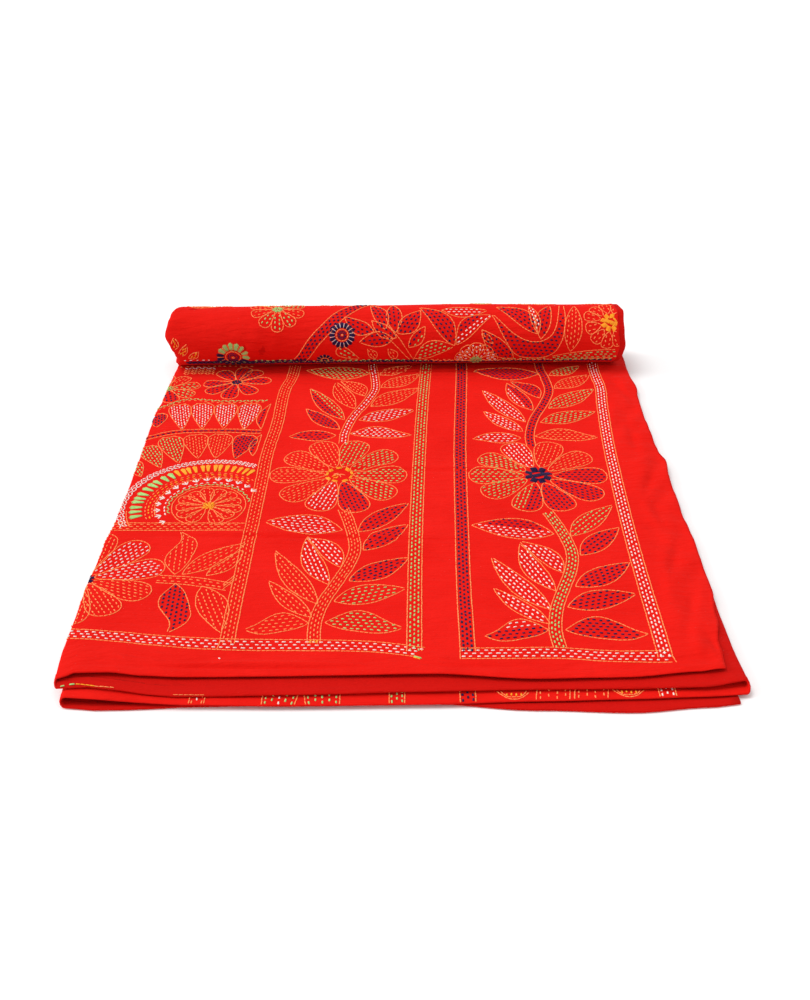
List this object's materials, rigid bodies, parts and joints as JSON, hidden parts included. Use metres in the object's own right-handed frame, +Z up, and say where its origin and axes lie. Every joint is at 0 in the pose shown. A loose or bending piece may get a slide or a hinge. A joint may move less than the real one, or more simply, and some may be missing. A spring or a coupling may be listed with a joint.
{
  "type": "folded kantha quilt",
  "caption": "Stitched cotton quilt folded back and forth into a flat stack of plies, with its far end wound into a roll that lies on the stack.",
  "frame": {"origin": "under the middle of the folded quilt's box, on the surface it rests on", "axes": "+X runs across the folded width to the right, +Y runs from the open front hems to the roll, +Z is up"},
  "size_m": [0.5858, 0.6864, 0.077],
  "materials": {
    "cloth": "matt cotton",
    "thread_orange": "stranded cotton",
    "thread_white": "stranded cotton",
    "thread_navy": "stranded cotton",
    "thread_green": "stranded cotton",
    "thread_gold": "stranded cotton"
  },
  "bodies": {
    "root": {"quilt": "cloth"}
  },
  "joints": []
}
